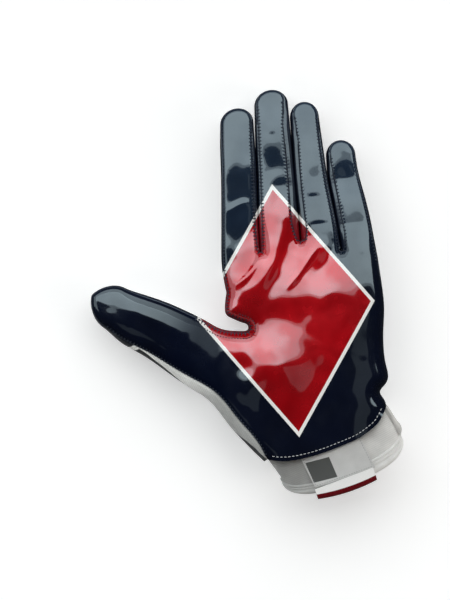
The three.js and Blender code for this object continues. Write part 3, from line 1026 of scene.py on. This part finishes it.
class Paint:
    """A material under construction. Most methods add nodes and return their output."""

    def __init__(self, name):
        self.material = bpy.data.materials.new(name)
        self.material.use_nodes = True
        self.tree = self.material.node_tree
        self.tree.nodes.clear()
        self.shader = self.tree.nodes.new("ShaderNodeBsdfPrincipled")
        output = self.tree.nodes.new("ShaderNodeOutputMaterial")
        self.tree.links.new(self.shader.outputs[0], output.inputs["Surface"])
        place = self.tree.nodes.new("ShaderNodeTexCoord").outputs["Object"]
        self.place = self.scaled(place, 1 / MM)
        split = self.node("ShaderNodeSeparateXYZ", {0: self.place})
        self.x, self.y, self.z = split.outputs

    @property
    def base(self):
        """The colour that the shader has so far."""
        return self.shader.inputs["Base Color"].links[0].from_socket

    def node(self, kind, inputs=(), **settings):
        made = self.tree.nodes.new(kind)
        for name, value in settings.items():
            setattr(made, name, value)
        for socket, value in dict(inputs).items():
            self.feed(made.inputs[socket], value)
        return made

    def feed(self, socket, value):
        if isinstance(value, bpy.types.NodeSocket):
            self.tree.links.new(value, socket)
        else:
            socket.default_value = value

    def set(self, **values):
        for name, value in values.items():
            self.feed(self.shader.inputs[name.replace("_", " ")], value)
        return self

    def vector(self, operation, inputs, output=0):
        return self.node("ShaderNodeVectorMath", inputs, operation=operation).outputs[output]

    def scaled(self, colour, tone):
        """A colour or a place, each of its parts times the same number."""
        return self.vector("SCALE", {0: colour, 3: tone})

    def maths(self, operation, a, b=0.0):
        return self.node("ShaderNodeMath", {0: a, 1: b}, operation=operation).outputs[0]

    def times(self, a, b):
        return self.maths("MULTIPLY", a, b)

    def plus(self, a, b):
        return self.maths("ADD", a, b)

    def minus(self, a, b):
        return self.maths("SUBTRACT", a, b)

    def size(self, a):
        return self.maths("ABSOLUTE", a)

    def step(self, value, low, high, out_low=0.0, out_high=1.0):
        inputs = {0: value, 1: low, 2: high, 3: out_low, 4: out_high}
        made = self.node("ShaderNodeMapRange", inputs, interpolation_type="SMOOTHSTEP")
        return made.outputs[0]

    def blend(self, share, a, b):
        made = self.node("ShaderNodeMix", {0: share}, data_type="RGBA")
        self.feed(made.inputs[6], a)
        self.feed(made.inputs[7], b)
        return made.outputs[2]

    def noise(self, size, detail=2.0):
        """Noise whose grains are about `size` across."""
        inputs = {"Vector": self.place, "Scale": 1 / size, "Detail": detail}
        return self.node("ShaderNodeTexNoise", inputs).outputs[0]

    def ribs(self, value, pitch):
        """A wave of the given pitch along a coordinate, from 0 to 1."""
        wave = self.maths("SINE", self.times(value, 2 * math.pi / pitch))
        return self.maths("MULTIPLY_ADD", wave, 0.5)

    def turned(self, degrees, middle=(0, 0)):
        """Coordinates along and across a direction seen from above, from a middle point."""
        cos, sin = heading(degrees)
        offset = self.vector("SUBTRACT", {0: self.place, 1: (*middle, 0)})
        axes = ((cos, sin, 0), (-sin, cos, 0))
        return [self.vector("DOT_PRODUCT", {0: offset, 1: axis}, "Value") for axis in axes]

    def bump(self, height, depth):
        made = self.node("ShaderNodeBump", {"Height": height, "Distance": depth * MM, "Strength": 1.0})
        self.feed(self.shader.inputs["Normal"], made.outputs[0])
        return self


# A colour that is only scaled has no fourth part
NAVY = (0.0010, 0.0019, 0.0066, 1)
# Painted light: the fingers' navy is lighter than the palm's, in place of a dim reflection in their dark
# parts
LIT_FINGER_NAVY = (0.0055, 0.0110, 0.0215, 1)
RED = (0.32, 0.001, 0.004)
RED_METAL = 0.4
GUSSET_NAVY = (0.0018, 0.0032, 0.0100, 1)
GUSSET_RED = (0.14, 0.002, 0.006)
PRINT_WHITE = (0.92, 0.91, 0.88, 1)
BLACK = (0.012, 0.013, 0.014, 1)
BACK_PALE = (0.66, 0.67, 0.66)
SIDE_PALE = (0.86, 0.86, 0.83)
CUFF_PALE = (0.56, 0.55, 0.53)
TAPE_PALE = (0.68, 0.67, 0.65)
STRAP_PALE = (0.74, 0.72, 0.69)
LABEL_PALE = (0.69, 0.68, 0.665)
LABEL_GREY = (0.075, 0.075, 0.071, 1)
TAB_WHITE = (0.98, 0.97, 0.955)
TAB_RED = (0.13, 0.001, 0.004)
THREAD_DARK = (0.010, 0.012, 0.022)
THREAD_WHITE = (0.80, 0.80, 0.78)
THREAD_GREY = (0.30, 0.30, 0.30)

# The print: a large diamond with a border. BLUR is half the width of its edges' soft turn
DIAMOND = {"x": -7.6, "y": 12.7, "half_width": 50, "half_height": 71, "border": 1.9}
BLUR = 0.12
# Where along Y the navy turns to the fingers' lighter navy, painted light in place of a dim reflection on
# the fingers, and the print's soft mottling
LIT_NAVY_TURN = (10.0, 90.0)
MOTTLE = {"size": 26, "low": 0.78, "high": 1.15}


def printed(paint, navy=NAVY, fingers=LIT_FINGER_NAVY, red=RED):
    """Navy with the red diamond and its white border, and where the red is."""
    across = paint.size(paint.minus(paint.x, DIAMOND["x"]))
    along = paint.size(paint.minus(paint.y, DIAMOND["y"]))
    across = paint.maths("DIVIDE", across, DIAMOND["half_width"])
    along = paint.maths("DIVIDE", along, DIAMOND["half_height"])
    slant = 1 / math.hypot(1 / DIAMOND["half_width"], 1 / DIAMOND["half_height"])
    past = paint.times(paint.minus(paint.plus(across, along), 1.0), slant)
    depth = paint.step(paint.noise(MOTTLE["size"], 2), 0.3, 0.7, MOTTLE["low"], MOTTLE["high"])
    # Painted light: the navy lightens along Y towards the fingers, in place of a dim reflection
    navy = paint.scaled(paint.blend(paint.step(paint.y, *LIT_NAVY_TURN), navy, fingers), depth)
    inner = paint.blend(paint.step(past, -BLUR, BLUR), paint.scaled(red, depth), PRINT_WHITE)
    border = DIAMOND["border"]
    colour = paint.blend(paint.step(past, border - BLUR, border + BLUR), inner, navy)
    return colour, paint.step(past, BLUR, -BLUR)


# The navy film goes duller along the thumb towards its root: two stations, and how dull it is at
# each. THUMB_X is where the thumb starts
DULL = (64, 27, 0.0, 0.9)
THUMB_X = (-44, -50)
# The coat's index, and how far a soft cloud of this size moves it on the red and on the navy
COAT_INDEX = 1.75
CLOUD = 20
RED_CLOUD = (0.38, 0.62, -0.07, 0.29)
NAVY_CLOUD = (0.35, 0.65, -0.07, 0.02)


def film_material():
    """Glossy printed film over a soft ripple."""
    paint = Paint("palm_film")
    ripple = paint.noise(7, 2)
    height = paint.plus(paint.times(paint.noise(0.9, 3), 0.06), ripple)
    colour, reds = printed(paint)
    navies = paint.minus(1.0, reds)
    paint.set(Base_Color=colour, Roughness=paint.step(ripple, 0.3, 0.7, 0.20, 0.28))
    paint.set(Metallic=paint.times(reds, RED_METAL), Specular_IOR_Level=0.08)
    along = paint.turned(THUMB_DEGREES, THUMB_ROOT)[0]
    dull = paint.times(paint.times(paint.step(along, *DULL), paint.step(paint.x, *THUMB_X)), navies)
    cloud = paint.noise(CLOUD, 2)
    bright = paint.times(reds, paint.step(cloud, *RED_CLOUD))
    plain = paint.times(navies, paint.step(cloud, *NAVY_CLOUD))
    index = paint.plus(COAT_INDEX, paint.plus(bright, plain))
    paint.set(Coat_Weight=paint.minus(1.0, dull), Coat_Roughness=0.05, Coat_IOR=index)
    return paint.bump(height, 0.10).material


def gusset_material():
    """The printed cloth of the side walls, less glossy than the film."""
    paint = Paint("gusset")
    along, across = paint.turned(45)
    weave = paint.times(paint.ribs(along, 0.9), paint.ribs(across, 0.9))
    colour = printed(paint, GUSSET_NAVY, GUSSET_NAVY, GUSSET_RED)[0]
    height = paint.plus(paint.times(weave, 0.5), paint.noise(2.5, 2))
    paint.set(Base_Color=colour, Roughness=0.45, Specular_IOR_Level=0.25)
    paint.set(Coat_Weight=1.0, Coat_Roughness=0.10, Coat_IOR=1.6)
    return paint.bump(height, 0.10).material


def knit_height(paint, along, across, wale, course):
    """Columns of small loops."""
    column = paint.size(paint.minus(paint.ribs(across, wale), 0.5))
    loops = paint.ribs(paint.plus(along, paint.times(column, 1.2)), course)
    return paint.times(paint.minus(1.0, column), loops)


def pale_cloth(name, colour, degrees, loops, relief, dirt=0.88, roughness=0.85, upright=False):
    """Cloth whose columns run one way, seen from above or, on an upright wall, from its side."""
    paint = Paint(name)
    along, across = paint.turned(degrees)
    height = knit_height(paint, along, paint.z if upright else across, *loops)
    shade = paint.step(paint.noise(9, 3), 0.3, 0.72, dirt, 1.04)
    tone = paint.times(shade, paint.step(height, 0.0, 0.7, 0.82, 1.0))
    paint.set(Base_Color=paint.scaled(colour, tone), Roughness=roughness, Specular_IOR_Level=0.25)
    paint.set(Sheen_Weight=0.15, Sheen_Roughness=0.5)
    return paint.bump(paint.plus(height, paint.noise(0.5, 2)), relief)


# Across which X the cuff's cloth turns from painted shade on its thumb side to painted light on its
# little-finger side
PAINTED_SHADE_X = (-5.0, 48.0)


def painted_side_shade(paint, low, high):
    """Painted shade and light: cloth darker towards the cuff's thumb side and lighter towards its
    little-finger side.
    """
    shade = paint.step(paint.x, *PAINTED_SHADE_X, low, high)
    return paint.set(Base_Color=paint.scaled(paint.base, shade)).material


# Where the back is black: how far out from the middle along the thumb's turn, above the wrist
BACK_BLACK_OUT = (34.0, 34.8)
BACK_BLACK_UP = (-58.0, -57.0)


def back_material():
    """Light knit, black towards the thumb's outer side and the wrist's."""
    paint = pale_cloth("back_knit", BACK_PALE, 90, (1.3, 1.5), 0.25)
    across = paint.turned(THUMB_DEGREES)[1]
    outer = paint.step(paint.plus(across, paint.times(paint.noise(14, 2), 6.0)), *BACK_BLACK_OUT)
    patch = paint.times(outer, paint.step(paint.y, *BACK_BLACK_UP))
    return paint.set(Base_Color=paint.blend(patch, paint.base, BLACK)).material


# Along the thumb's axis: where the side strip turns navy, and its painted shade, darker towards the wrist
# and lighter towards the tip
SIDE_NAVY = (70.0, 70.6)
SIDE_PAINTED_SHADE = (8, 36, 0.54, 1.12)
# Black wedges: the blunt end and the point along the thumb's axis, and the blunt end's level
SIDE_BLACKS = ((67, 10, 18.5), (-30, 3, 25.6))
SIDE_SLANT = 0.6


def side_material():
    """The thumb's outer strip: navy film near the tip, then pale satin cloth, black low down."""
    paint = pale_cloth("side_knit", SIDE_PALE, THUMB_DEGREES, (0.9, 1.1), 0.12, 0.93, 0.6, upright=True)
    along = paint.turned(THUMB_DEGREES, THUMB_ROOT)[0]
    along = paint.plus(along, paint.times(paint.z, SIDE_SLANT))
    # Painted shade: the strip darker towards the wrist, where it turns away from the light, and lighter
    # near the tip
    base = paint.scaled(paint.base, paint.step(along, *SIDE_PAINTED_SHADE))
    for blunt, point, level in SIDE_BLACKS:
        share = paint.maths("DIVIDE", paint.minus(along, blunt), point - blunt)
        squared = paint.times(share, share)
        fallen = paint.times(paint.times(squared, squared), level)
        under = paint.step(paint.plus(paint.z, fallen), level + 0.2, level - 0.2)
        base = paint.blend(paint.times(under, paint.step(share, 0.0, 0.02)), base, BLACK)
    tip = paint.step(along, *SIDE_NAVY)
    paint.set(Coat_Weight=tip, Coat_Roughness=0.08, Coat_IOR=1.7)
    paint.set(Base_Color=paint.blend(tip, base, NAVY), Roughness=paint.step(tip, 0, 1, 0.6, 0.3))
    return paint.material


# The label's top and foot from left to right, its grid and how many rounds smooth it, its
# weave's turn and its square
LABEL_TOP = np.array([[-8.7, -72.1], [9.3, -66.9], [26.7, -62.5]])
LABEL_FOOT = np.array([[-1.4, -91.8], [16.6, -87.8], [34.3, -83.5]])
LABEL_ROWS = 50
LABEL_COLUMNS = 60
LABEL_ROUNDS = 80
LABEL_DEGREES = 11
LABEL_SQUARE = {"middle": (3.2, -81.8), "half": (7.0, 6.1), "side_degrees": 17, "top_degrees": 9}


def label_material():
    """A pale woven patch with a plain grey square at its left."""
    paint = pale_cloth("label_weave", LABEL_PALE, LABEL_DEGREES, (0.6, 0.6), 0.08, 0.95)
    along = paint.turned(LABEL_SQUARE["side_degrees"], LABEL_SQUARE["middle"])[0]
    across = paint.turned(LABEL_SQUARE["top_degrees"], LABEL_SQUARE["middle"])[1]
    half_x, half_y = LABEL_SQUARE["half"]
    past_x = paint.minus(paint.size(along), half_x)
    past_y = paint.minus(paint.size(across), half_y)
    within = paint.step(paint.maths("MAXIMUM", past_x, past_y), 0.1, -0.1)
    return paint.set(Base_Color=paint.blend(within, paint.base, LABEL_GREY)).material


def thread_material(name, colour):
    paint = Paint(name)
    twist = paint.ribs(paint.plus(paint.x, paint.plus(paint.y, paint.z)), 0.45)
    tone = paint.step(twist, 0.0, 1.0, 0.8, 1.0)
    return paint.set(Base_Color=paint.scaled(colour, tone), Roughness=0.7).bump(twist, 0.05).material


# Webbing folded over the cuff's edge: its middle, the leaves' length and the fold's centre along
# it, the gap inside the fold and the thickness. TAB_GIRTH is the fold's reach for its gap
TAB = {"x": 16.2, "y": -90.6, "z": 29.4, "degrees": 12.2, "width": 36, "leaf": 2.75, "fold": -1.4}
TAB.update({"gape": 2.7, "thick": 1.3})
TAB_GIRTH = 0.6
TAB_ROWS = 41
TAB_SIDE_POINTS = 30
# The red band's edge, and its bow
TAB_BAND = -1.0
TAB_BAND_BOW = 1.3
# How much the tab's middle stands out, how askew its leaf is, and how its ends droop
TAB_BOW = 0.22
TAB_SKEW = 0.75
TAB_DROOP = 0.5


def tab_material():
    """White webbing, with a dark red band woven in beside its fold."""
    paint = Paint("tab_webbing")
    along, across = paint.turned(TAB["degrees"], (TAB["x"], TAB["y"]))
    weave = paint.times(paint.ribs(along, 0.8), paint.ribs(across, 0.8))
    share = paint.times(along, 2 / TAB["width"])
    past = paint.plus(across, paint.times(paint.minus(1.0, paint.times(share, share)), TAB_BAND_BOW))
    band = paint.step(past, TAB_BAND + 0.08, TAB_BAND - 0.08)
    tone = paint.step(weave, 0.0, 1.0, 0.93, 1.0)
    colour = paint.blend(band, paint.scaled(TAB_WHITE, tone), paint.scaled(TAB_RED, tone))
    return paint.set(Base_Color=colour, Roughness=0.75, Specular_IOR_Level=0.15).bump(weave, 0.10).material


def tab_points():
    leaf, fold, gape, thick = (TAB[name] for name in ("leaf", "fold", "gape", "thick"))

    def side(layer, degrees):
        """Along the leaf, round the fold and back along the other leaf, so far from the gap."""
        turn = np.radians(degrees)
        along = fold + (gape * TAB_GIRTH + layer) * np.cos(turn)
        rise = (gape + layer) * np.sin(turn)
        first, last = ([leaf, sign * (gape + layer)] for sign in np.sign(rise[[0, -1]]))
        line = np.vstack([first, np.column_stack([along, rise]), last])
        return sample(line, np.linspace(0, lengths_along(line)[-1], TAB_SIDE_POINTS))

    degrees = np.linspace(90, 270, 19)
    profile = np.vstack([side(thick, degrees), side(0, degrees[::-1])])
    cos, sin = heading(TAB["degrees"])
    rows = []
    for share in np.linspace(-1, 1, TAB_ROWS):
        station = share / 2 * TAB["width"]
        along = leaf - (leaf - profile[:, 0]) * (1 + TAB_BOW * (1 - share * share))
        along = along + TAB_SKEW * share * np.clip(profile[:, 0] / leaf, 0, 1)
        x = TAB["x"] + station * cos - along * sin
        y = TAB["y"] + station * sin + along * cos
        level = TAB["z"] + profile[:, 1] - TAB_DROOP * share * share
        rows.append(np.column_stack([x, y, level]))
    around = len(profile)
    triangles = triangles_of(TAB_ROWS, around, False, True)[:, ::-1]
    caps = []
    for row, flip in ((0, False), (TAB_ROWS - 1, True)):
        for i in range(TAB_SIDE_POINTS - 1):
            a, b = row * around + i, row * around + i + 1
            c, d = (row + 1) * around - 1 - i, (row + 1) * around - 2 - i
            pair = [[a, b, d], [a, d, c]]
            caps += [face[::-1] for face in pair] if flip else pair
    return np.vstack(rows), np.vstack([triangles, np.array(caps)])


def cuff_pieces():
    """The cuff's tube, binding and strap. The surfaces of the first two are given."""
    # Painted shade darkens the knit and the binding towards the thumb side, and painted light brightens
    # them towards the little-finger side
    pale = painted_side_shade(pale_cloth("cuff_knit", CUFF_PALE, 110, (1.0, 1.1), 0.22, 0.90), 0.75, 1.62)
    tape = painted_side_shade(pale_cloth("binding_tape", TAPE_PALE, 105, (0.8, 0.8), 0.10, 0.95), 0.84, 1.40)
    strap = pale_cloth("strap", STRAP_PALE, 20, (0.8, 0.8), 0.12).material
    ends = (TUBE_ENDS[0], CUFF_STATIONS[-1] - TUBE_ENDS[1])
    profile = [[s, 0.0] for s in np.linspace(*ends, TUBE_ROWS[0])]
    profile += [[s, -CUFF_WALL] for s in np.linspace(*ends[::-1], TUBE_ROWS[1])]
    tube = round_cuff(np.array(profile), CUFF_TURNS)
    make_piece("cuff_tube", *tube, pale, "cuff", "cuff_knit")
    binding = round_cuff(smooth_loop(BINDING_PROFILE, BINDING_STEP), CUFF_TURNS)
    make_piece("cuff_binding_tape", *binding, tape, "cuff_binding", "binding_tape")
    band = round_cuff(smooth_loop(STRAP_PROFILE, STRAP_STEP), STRAP_TURNS, False)
    make_piece("closure_strap_band", *band, strap, "closure_strap", "strap")
    return surface_tree(*tube), surface_tree(*binding)


def eased(grid, rounds):
    """A grid of levels smoothed down its columns, never below what it was."""
    for _ in range(rounds):
        middle = (grid[:-2] + grid[2:]) / 2
        grid = np.vstack([grid[:1], np.maximum(grid[1:-1], middle), grid[-1:]])
    return grid


def label_patch(cuff, binding):
    """The label laid over the cuff and its binding, and its surface."""
    low, high = (smooth_to(line, LABEL_COLUMNS) for line in (LABEL_FOOT, LABEL_TOP))
    shares = np.linspace(0, 1, LABEL_ROWS)[:, None, None]
    flat = (high[None] * (1 - shares) + low[None] * shares).reshape(-1, 2)
    level = np.fmax(dropped(cuff, flat), dropped(binding, flat))
    level = eased(level.reshape(LABEL_ROWS, LABEL_COLUMNS), LABEL_ROUNDS).ravel()
    points = np.column_stack([flat, level + LABEL_THICK])
    triangles = faced(points, triangles_of(LABEL_ROWS, LABEL_COLUMNS), 1)
    made = shell(points, triangles, LABEL_THICK - LABEL_GAP)
    make_piece("woven_label", *made, label_material(), "label", "label_weave")
    return surface_tree(points, triangles)


# Rows of stitches: where they start and stop short of a line's ends, and each one's measures
NOTCH_ROW = {"first": 12.5, "spare": 3.0, "pitch": 1.7, "length": 0.9, "radius": 0.32, "lift": 0.05}
HEM_ROW = {"first": 2.0, "spare": 2.0, "pitch": 2.3, "length": 1.5, "radius": 0.18, "lift": 0.10}
LABEL_ROW = {"first": 0.4, "spare": 1.0, "pitch": 1.5, "length": 1.0, "radius": 0.13, "lift": 0.03}
NOTCH_INSET = 4.2
HEM_INSET = 2.4
# The label's rows start and end a little in from its corners
LABEL_INSETS = (0.05, 0.055, 0.06)
LABEL_STEP_IN = np.array([0.9, 0.2])
# Stitches across the seam: how far in and out they reach, and how much further plain ones do.
# Fainter ones than SEAM_SHOWN are left out. The cord runs along the seam under them
SEAM_IN = (0.5, 1.1)
SEAM_OUT = (0.3, 0.5)
SEAM_SHOWN = 0.15
SEAM_LIFT = 0.05
SEAM_RADIUS = 0.38
CORD = {"sunk": 0.15, "radius": 0.30, "end_radius": 0.01, "spare": 1.0}


def stitch_rows(lines, surface, row):
    """Stitches in rows along lines seen from above, where a surface lies below them."""
    starts, ends = [], []
    for line in lines:
        places = np.arange(row["first"], lengths_along(line)[-1] - row["spare"], row["pitch"])
        starts.append(sample(line, places))
        ends.append(sample(line, places + row["length"]))
    starts, ends = (
        np.column_stack([part, dropped(surface, part) + row["lift"]])
        for part in (np.vstack(starts), np.vstack(ends))
    )
    seen = ~np.isnan(starts[:, 2] + ends[:, 2])
    return capsules(starts[seen], ends[seen], row["radius"])


def label_stitches(surface):
    """A row of small stitches along the label's sides and foot."""
    foot = [mix(*ends) for ends in zip(LABEL_FOOT, LABEL_TOP, LABEL_INSETS)]
    left = np.array([LABEL_TOP[0], foot[0]]) + LABEL_STEP_IN
    right = np.array([foot[2], LABEL_TOP[2]]) - LABEL_STEP_IN
    lines = [left, smooth_to([left[1], foot[1], right[0]], 3), right]
    grey = thread_material("thread_grey", THREAD_GREY)
    make_piece("label_stitches", *stitch_rows(lines, surface, LABEL_ROW), grey, "label", "label_weave")


def stitches(film):
    """The stitches and the cord of the palm-side seam, and the rows at the notch and the hem."""
    dark = thread_material("thread_dark", THREAD_DARK)
    white = thread_material("thread_white", THREAD_WHITE)
    along = lengths_along(FRONT_SEAM)
    places = np.arange(int(along[-1] / STITCH_PITCH)) * STITCH_PITCH + STITCH_PITCH / 2
    places = places[np.interp(places, along, TICKS) > SEAM_SHOWN]
    plain = np.interp(places, along, TICKS)[:, None]
    middle, normal = sample(FRONT_SEAM, places), unit(sample(EDGE_IN, places, along))
    inner = middle + normal * (SEAM_IN[0] + SEAM_IN[1] * plain)
    outer = middle - normal * (SEAM_OUT[0] + SEAM_OUT[1] * plain)
    ends = (np.column_stack([part, top_at(part) + SEAM_LIFT]) for part in (inner, outer))
    line = FRONT_SEAM[(along > CORD["spare"]) & (along < along[-1] - CORD["spare"])]
    cord = np.column_stack([line, top_at(line) - CORD["sunk"]])
    radii = np.full(len(cord), CORD["radius"])
    radii[[0, -1]] = CORD["end_radius"]
    notch = EDGE[NOTCH_SPAN] + EDGE_IN[NOTCH_SPAN] * NOTCH_INSET
    hem = HEM_LINE + inward(HEM_LINE) * HEM_INSET
    for name, made, material in (
        ("seam_stitches", capsules(*ends, SEAM_RADIUS), dark),
        ("seam_cord", thread(cord, radii), dark),
        ("notch_stitches", stitch_rows([notch], film, NOTCH_ROW), dark),
        ("hem_stitches", stitch_rows([hem], film, HEM_ROW), white),
    ):
        make_piece(name, *made, material, "palm_panel", "palm_film")


GUSSETS = (
    ("little_side_band", "little_side_strip"),
    ("ring_little_gusset", "gusset_ring_little"),
    ("middle_ring_gusset", "gusset_middle_ring"),
    ("index_middle_gusset", "gusset_index_middle"),
    ("thumb_index_gusset", "gusset_thumb_index"),
)
film = film_material()
gusset = gusset_material()
loop = np.vstack([FRONT_SEAM, HEM_LINE[1:-1]])
film_tree = panel(
    "palm_film_panel", loop, FILM_STEP, FILM_RINGS, top_at, 1, FILM, film, "palm_panel", "palm_film"
)
loop = np.vstack([BACK_LINE, smooth_line(BACK_HEM, KNIT_STEP)[1:-1]])
looks = (back_material(), "back_panel", "back_knit")
panel("knit_back_panel", loop, KNIT_STEP, KNIT_RINGS, bottom_at, -1, KNIT, *looks)
pieces = [(name, gusset, node, "gusset") for name, node in GUSSETS]
strips([*pieces, ("thumb_side_band", side_material(), "thumb_side_strip", "side_knit")])
label_stitches(label_patch(*cuff_pieces()))
make_piece("webbing_tab", *tab_points(), tab_material(), "pull_tab", "tab_webbing")
stitches(film_tree)

# Camera: straight over the glove, turned as the photograph is
CAMERA_PLACE = (-42.2, 22.2, 998.0)
CAMERA_TURN = -6.0
FOCAL = 100
SENSOR = 36
CLIP = (0.05, 20)

camera_data = bpy.data.cameras.new("camera")
camera_data.lens = FOCAL
camera_data.sensor_width = SENSOR
camera_data.sensor_fit = "AUTO"
camera_data.clip_start, camera_data.clip_end = CLIP
camera = placed("camera", camera_data)
camera.location = Vector(CAMERA_PLACE) * MM
camera.rotation_euler = (0, 0, math.radians(CAMERA_TURN))
bpy.context.scene.camera = camera

# The floor's half size in metres, and its own light
FLOOR_HALF = 3.0
FLOOR_GLOW = 0.40


def floor():
    mesh = bpy.data.meshes.new("floor")
    corners = [(x * FLOOR_HALF, y * FLOOR_HALF, 0) for x, y in ((-1, -1), (1, -1), (1, 1), (-1, 1))]
    mesh.from_pydata(corners, [], [(0, 1, 2, 3)])
    paint = Paint("floor_paper")
    shade = paint.step(paint.noise(300, 1), 0.3, 0.7, 0.80, 0.82)
    paint.set(Base_Color=shade, Roughness=0.9, Specular_IOR_Level=0.1)
    paint.set(Emission_Color=(1, 1, 1, 1), Emission_Strength=FLOOR_GLOW)
    mesh.materials.append(paint.material)
    plane = placed("floor", mesh)
    plane.visible_glossy = False


def softbox(name, middle, target, size, radiance, colour, mirrored=True, lighting=True):
    """A rectangular light, in metres, that gives off so much whichever its size."""
    data = bpy.data.lights.new(name, "AREA")
    data.shape = "RECTANGLE"
    data.size, data.size_y = size
    data.energy = radiance * math.pi * size[0] * size[1]
    data.color = colour
    light = placed(name, data)
    light.visible_glossy = mirrored
    light.visible_diffuse = lighting
    light.location = middle
    light.rotation_euler = (Vector(target) - Vector(middle)).to_track_quat("-Z", "Y").to_euler()


# Cool cards that the gloss mirrors, and plainer lights for the cloth
COOL = (0.84, 1.04, 1.12)
PLAIN = (0.93, 0.95, 0.95)
WARM = (1.0, 0.95, 0.90)
SKY_COLOUR = (0.9, 0.95, 1.0, 1)
SKY_STRENGTH = 0.02
TOP = {"middle": (0.0, 1.56, 1.6), "target": (0.0, 1.56, 0.0), "size": (5.6, 2.48)}
BACK = {"middle": (0.0, 2.9, 0.92), "target": (0.0, 0.0, 0.4), "size": (5.6, 1.56)}
floor()
softbox("top_card", **TOP, radiance=2.55, colour=COOL, lighting=False)
softbox("top_light", **TOP, radiance=3.8, colour=PLAIN, mirrored=False)
softbox("back_card", **BACK, radiance=1.6, colour=COOL, lighting=False)
softbox("back_light", **BACK, radiance=3.1, colour=PLAIN, mirrored=False)
softbox("edge_card", (0.0, 0.29, 1.6), (0.0, 0.29, 0.0), (5.6, 0.06), 1.2, COOL, lighting=False)
softbox("left_wall", (-2.8, 1.25, 0.9), (0.0, 1.25, 0.9), (2.7, 1.6), 1.1, COOL)
softbox("right_card", (0.55, -0.5, 1.6), (0.55, -0.5, 0.0), (0.4, 1.2), 0.20, COOL, lighting=False)
softbox("left_card", (-0.5, -0.55, 1.6), (-0.5, -0.55, 0.0), (0.35, 0.5), 0.15, COOL, lighting=False)
softbox("left_fill", (-1.7, -1.0, 1.3), (0.0, 0.0, 0.0), (1.3, 1.3), 1.5, WARM, mirrored=False)
softbox("right_fill", (1.9, -0.7, 0.9), (0.0, 0.0, 0.0), (1.0, 1.0), 3.4, WARM, mirrored=False)
world = bpy.data.worlds.new("studio")
world.use_nodes = True
world.node_tree.nodes["Background"].inputs[0].default_value = SKY_COLOUR
world.node_tree.nodes["Background"].inputs[1].default_value = SKY_STRENGTH
bpy.context.scene.world = world
bpy.context.scene.view_settings.view_transform = "Standard"
